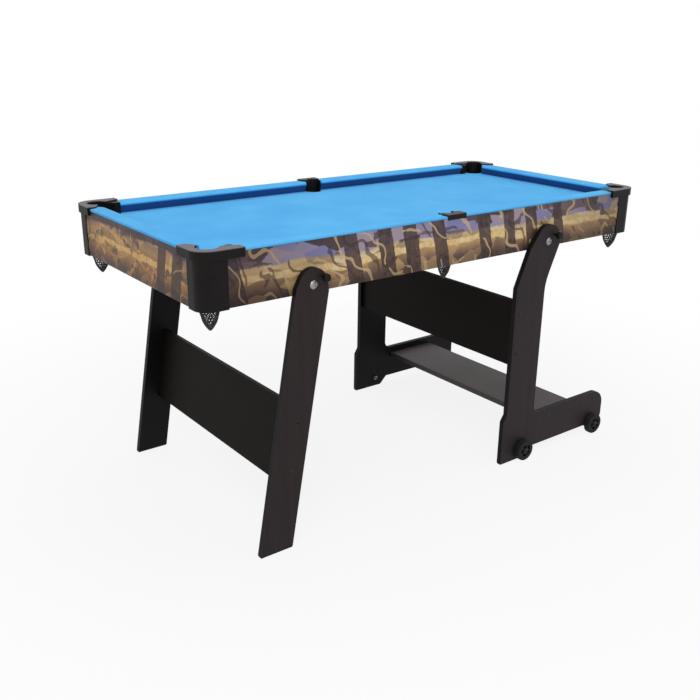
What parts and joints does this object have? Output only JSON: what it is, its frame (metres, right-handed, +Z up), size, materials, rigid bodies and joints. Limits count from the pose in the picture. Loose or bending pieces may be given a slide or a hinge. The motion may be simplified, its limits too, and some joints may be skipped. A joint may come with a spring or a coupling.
{
  "type": "folding pool table",
  "caption": "Small folding pool table with a blue cloth bed, printed apron panels, moulded corner and middle pockets with nets, folding end legs and a wheeled folding base",
  "frame": {"origin": "on the floor under the middle of the table's bounding box", "axes": "+X from the end legs to the wheeled base along the table's length, -Y the near side, +Z up"},
  "size_m": [1.536, 0.7976, 0.802],
  "materials": {
    "cloth": "short woven nap, sky blue",
    "print": "satin laminate with a printed abstract pattern",
    "fibreboard": "raw fibreboard",
    "bare_wood": "planed softwood",
    "black_board": "black satin laminate over board",
    "moulding": "black moulded plastic, fine grain",
    "wheel_plastic": "dark grey moulded plastic",
    "net": "knotted black cord mesh",
    "rubber": "matt black rubber",
    "black_steel": "black oxide steel, satin",
    "steel": "zinc-plated steel"
  },
  "bodies": {
    "wheel_base": {"base_side_near": "black_board", "base_side_far": "black_board", "base_stretcher": "black_board", "base_shelf": "black_board", "base_bushes": "moulding", "base_pads": "rubber", "base_screws": "black_steel", "wheel_axles": "black_steel", "axle_nuts": "steel"},
    "table_top": {"bed_board": "fibreboard", "bed_cloth": "cloth", "side_apron_near": "print", "side_apron_far": "print", "end_apron_left": "print", "end_apron_right": "print", "cushion_near_left": "cloth", "cushion_near_right": "cloth", "cushion_far_left": "cloth", "cushion_far_right": "cloth", "cushion_left_end": "cloth", "cushion_right_end": "cloth", "cushion_strips": "bare_wood", "corner_cap_near_left": "moulding", "corner_cap_near_right": "moulding", "corner_cap_far_left": "moulding", "corner_cap_far_right": "moulding", "middle_pocket_near": "moulding", "middle_pocket_far": "moulding", "net_near_left": "net", "net_near_middle": "net", "net_near_right": "net", "net_far_left": "net", "net_far_middle": "net", "net_far_right": "net", "bed_battens": "bare_wood", "cross_rails": "bare_wood", "pivot_blocks": "bare_wood", "pivot_bolts": "steel", "pivot_nuts": "steel", "pivot_spacers": "moulding", "bed_screws": "steel", "cap_screws": "steel"},
    "end_legs": {"end_leg_near": "black_board", "end_leg_far": "black_board", "end_stretcher": "black_board", "end_leg_bushes": "moulding", "end_leg_pads": "rubber", "end_leg_screws": "black_steel"},
    "heel_wheel_near_body": {"heel_wheel_near": "wheel_plastic", "heel_tyre_near": "rubber"},
    "heel_wheel_far_body": {"heel_wheel_far": "wheel_plastic", "heel_tyre_far": "rubber"},
    "end_wheel_near_body": {"end_wheel_near": "wheel_plastic", "end_tyre_near": "rubber"},
    "end_wheel_far_body": {"end_wheel_far": "wheel_plastic", "end_tyre_far": "rubber"},
    "end_lock_near": {"end_lock_pin_near": "moulding"},
    "end_lock_far": {"end_lock_pin_far": "moulding"},
    "base_lock_near": {"base_lock_pin_near": "moulding"},
    "base_lock_far": {"base_lock_pin_far": "moulding"}
  },
  "joints": [
    {"name": "table_fold", "type": "hinge", "parent": "wheel_base", "child": "table_top", "pos_m": [0.355, 0, 0.685], "axis": [0, 1, 0], "range_deg": [0, 90]},
    {"name": "end_leg_fold", "type": "hinge", "parent": "table_top", "child": "end_legs", "pos_m": [-0.475, 0, 0.689], "axis": [0, -1, 0], "range_deg": [0, 85]},
    {"name": "heel_wheel_near_turn", "type": "hinge", "parent": "wheel_base", "child": "heel_wheel_near_body", "pos_m": [0.31, -0.3845, 0.033], "axis": [0, 1, 0], "continuous": true},
    {"name": "heel_wheel_far_turn", "type": "hinge", "parent": "wheel_base", "child": "heel_wheel_far_body", "pos_m": [0.31, 0.3845, 0.033], "axis": [0, 1, 0], "continuous": true},
    {"name": "end_wheel_near_turn", "type": "hinge", "parent": "wheel_base", "child": "end_wheel_near_body", "pos_m": [0.646, -0.3845, 0.033], "axis": [0, 1, 0], "continuous": true},
    {"name": "end_wheel_far_turn", "type": "hinge", "parent": "wheel_base", "child": "end_wheel_far_body", "pos_m": [0.646, 0.3845, 0.033], "axis": [0, 1, 0], "continuous": true},
    {"name": "end_lock_near_slide", "type": "slide", "parent": "end_legs", "child": "end_lock_near", "axis": [0, -1, 0], "range_m": [-0.007, 0]},
    {"name": "end_lock_far_slide", "type": "slide", "parent": "end_legs", "child": "end_lock_far", "axis": [0, 1, 0], "range_m": [-0.007, 0]},
    {"name": "base_lock_near_slide", "type": "slide", "parent": "wheel_base", "child": "base_lock_near", "axis": [0, -1, 0], "range_m": [-0.007, 0]},
    {"name": "base_lock_far_slide", "type": "slide", "parent": "wheel_base", "child": "base_lock_far", "axis": [0, 1, 0], "range_m": [-0.007, 0]}
  ]
}
